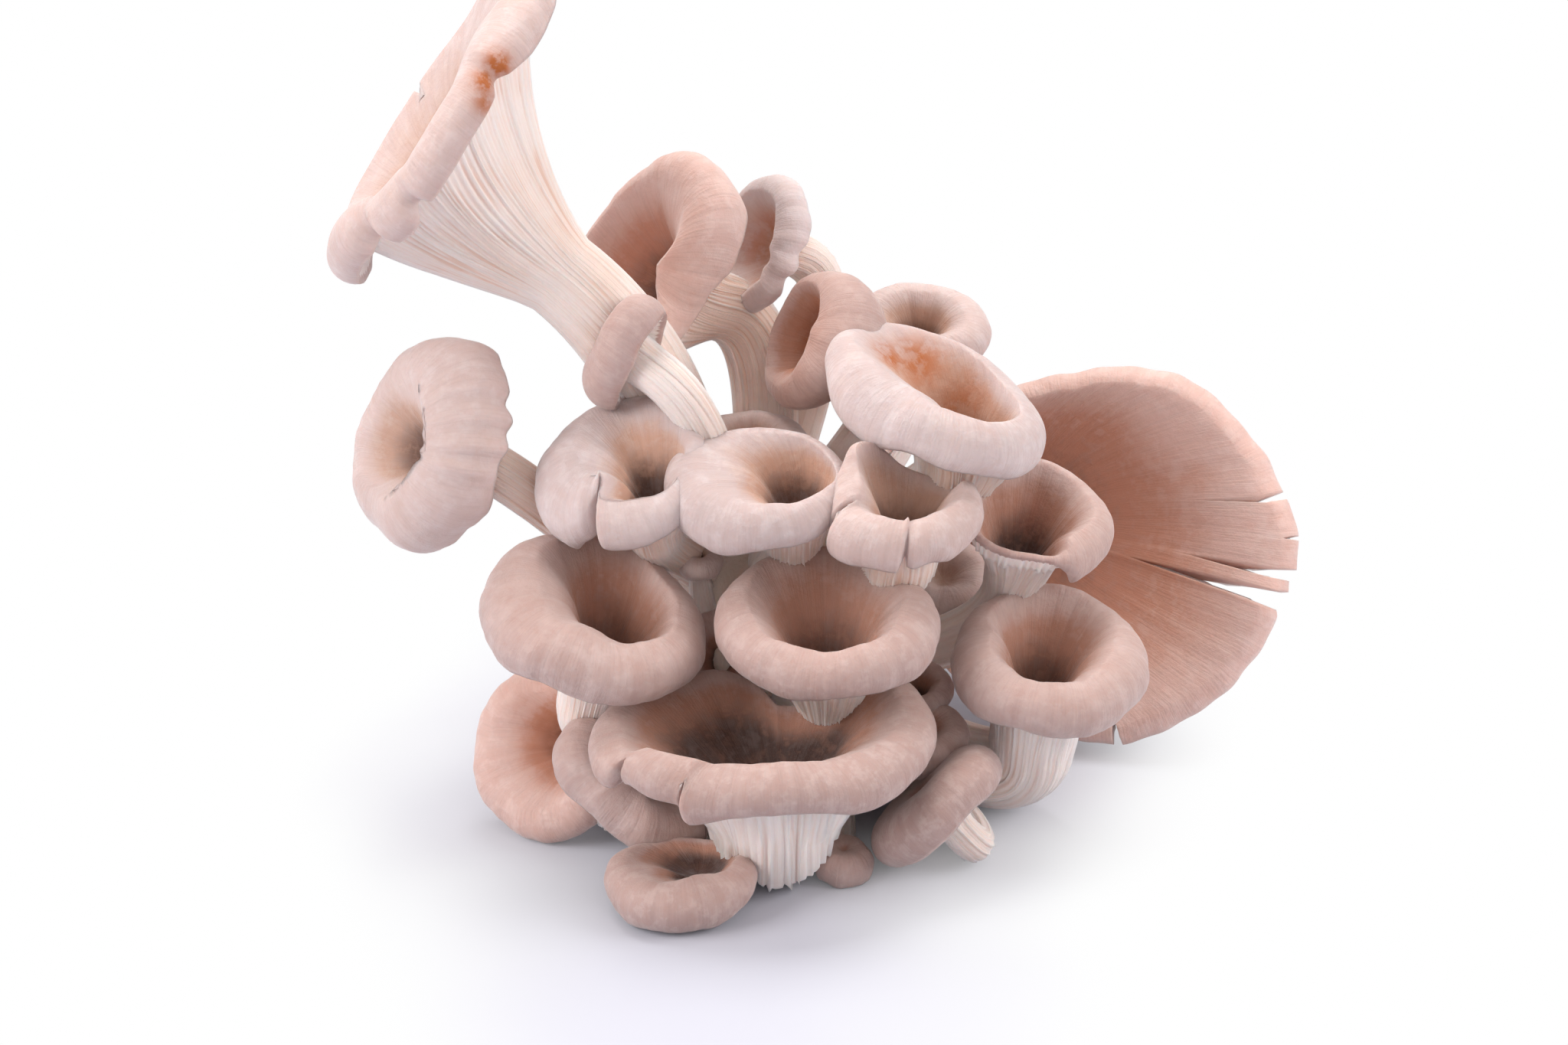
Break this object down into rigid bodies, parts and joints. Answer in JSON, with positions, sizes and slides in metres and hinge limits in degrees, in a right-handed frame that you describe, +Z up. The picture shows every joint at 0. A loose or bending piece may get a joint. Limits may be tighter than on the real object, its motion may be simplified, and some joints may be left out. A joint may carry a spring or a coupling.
{
  "type": "oyster mushroom cluster",
  "caption": "Cluster of oyster mushrooms: rolled-brim funnel caps with gills running down curved stems, crowded round one lumpy foot cut flat underneath.",
  "frame": {"origin": "middle of the foot's flat cut underside, which rests on the table at Z = 0", "axes": "+X to the right of the side with the big front bowl, +Y away from it, +Z up out of the table"},
  "size_m": [0.197, 0.1341, 0.1673],
  "materials": {
    "brown_cap": "matte, velvety, pinkish grey-brown skin, darker in the funnel, with cream gills and stem",
    "pale_cap_flesh": "matte, velvety, pale pinkish grey skin with white gills and stem",
    "foot_flesh": "matte, fibrous, creamy white flesh"
  },
  "bodies": {
    "root": {"front_bowl": "brown_cap", "left_cup": "brown_cap", "centre_cup": "brown_cap", "right_cup": "brown_cap", "split_cup": "pale_cap_flesh", "middle_cup": "pale_cap_flesh", "upper_left_cup": "pale_cap_flesh", "right_inner_cup": "brown_cap", "pale_cup": "pale_cap_flesh", "left_far_cap": "pale_cap_flesh", "left_low_cap": "brown_cap", "left_crescent": "brown_cap", "right_crescent": "brown_cap", "floor_cup": "brown_cap", "edge_cap": "brown_cap", "back_left_cup": "brown_cap", "back_right_cap": "pale_cap_flesh", "tall_cap": "pale_cap_flesh", "top_cap": "brown_cap", "top_back_cap": "pale_cap_flesh", "big_fan": "brown_cap", "petal_cap": "brown_cap", "curled_cap": "brown_cap", "shaded_cap": "brown_cap", "behind_cup": "pale_cap_flesh", "inner_cap": "pale_cap_flesh", "young_button": "pale_cap_flesh", "floor_button": "brown_cap", "rear_left_cup": "brown_cap", "rear_middle_cup": "pale_cap_flesh", "rear_right_cup": "brown_cap", "fused_foot": "foot_flesh"}
  },
  "joints": []
}
